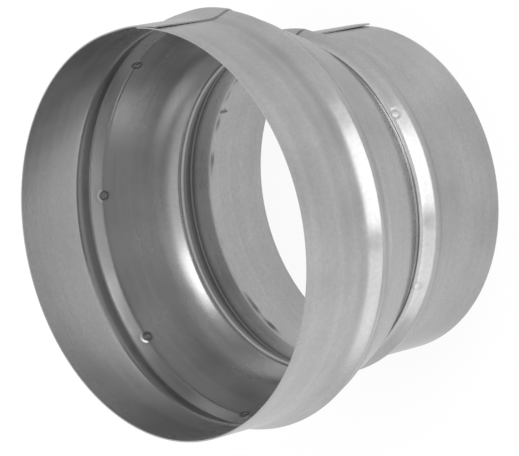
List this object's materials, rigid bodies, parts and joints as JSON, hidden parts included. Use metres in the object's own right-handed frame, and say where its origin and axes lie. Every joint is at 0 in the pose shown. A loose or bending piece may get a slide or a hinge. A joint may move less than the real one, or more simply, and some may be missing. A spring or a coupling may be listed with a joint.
{
  "type": "duct reducer",
  "caption": "Round galvanised sheet-steel duct reducer: two lap-seamed collars, each rolled into a bead over the ends of a pressed conical ring.",
  "frame": {"origin": "centre of the small collar's rim plane, on the duct's axis, where the part stands", "axes": "+Z along the duct's axis, from the small collar's rim up to the large mouth"},
  "size_m": [0.1557, 0.1552, 0.113],
  "materials": {
    "large_collar": "galvanised sheet steel, satin",
    "reducing_ring": "galvanised sheet steel, satin",
    "small_collar": "galvanised sheet steel, satin"
  },
  "bodies": {
    "root": {"large_collar": "large_collar", "reducing_ring": "reducing_ring", "small_collar": "small_collar"}
  },
  "joints": []
}
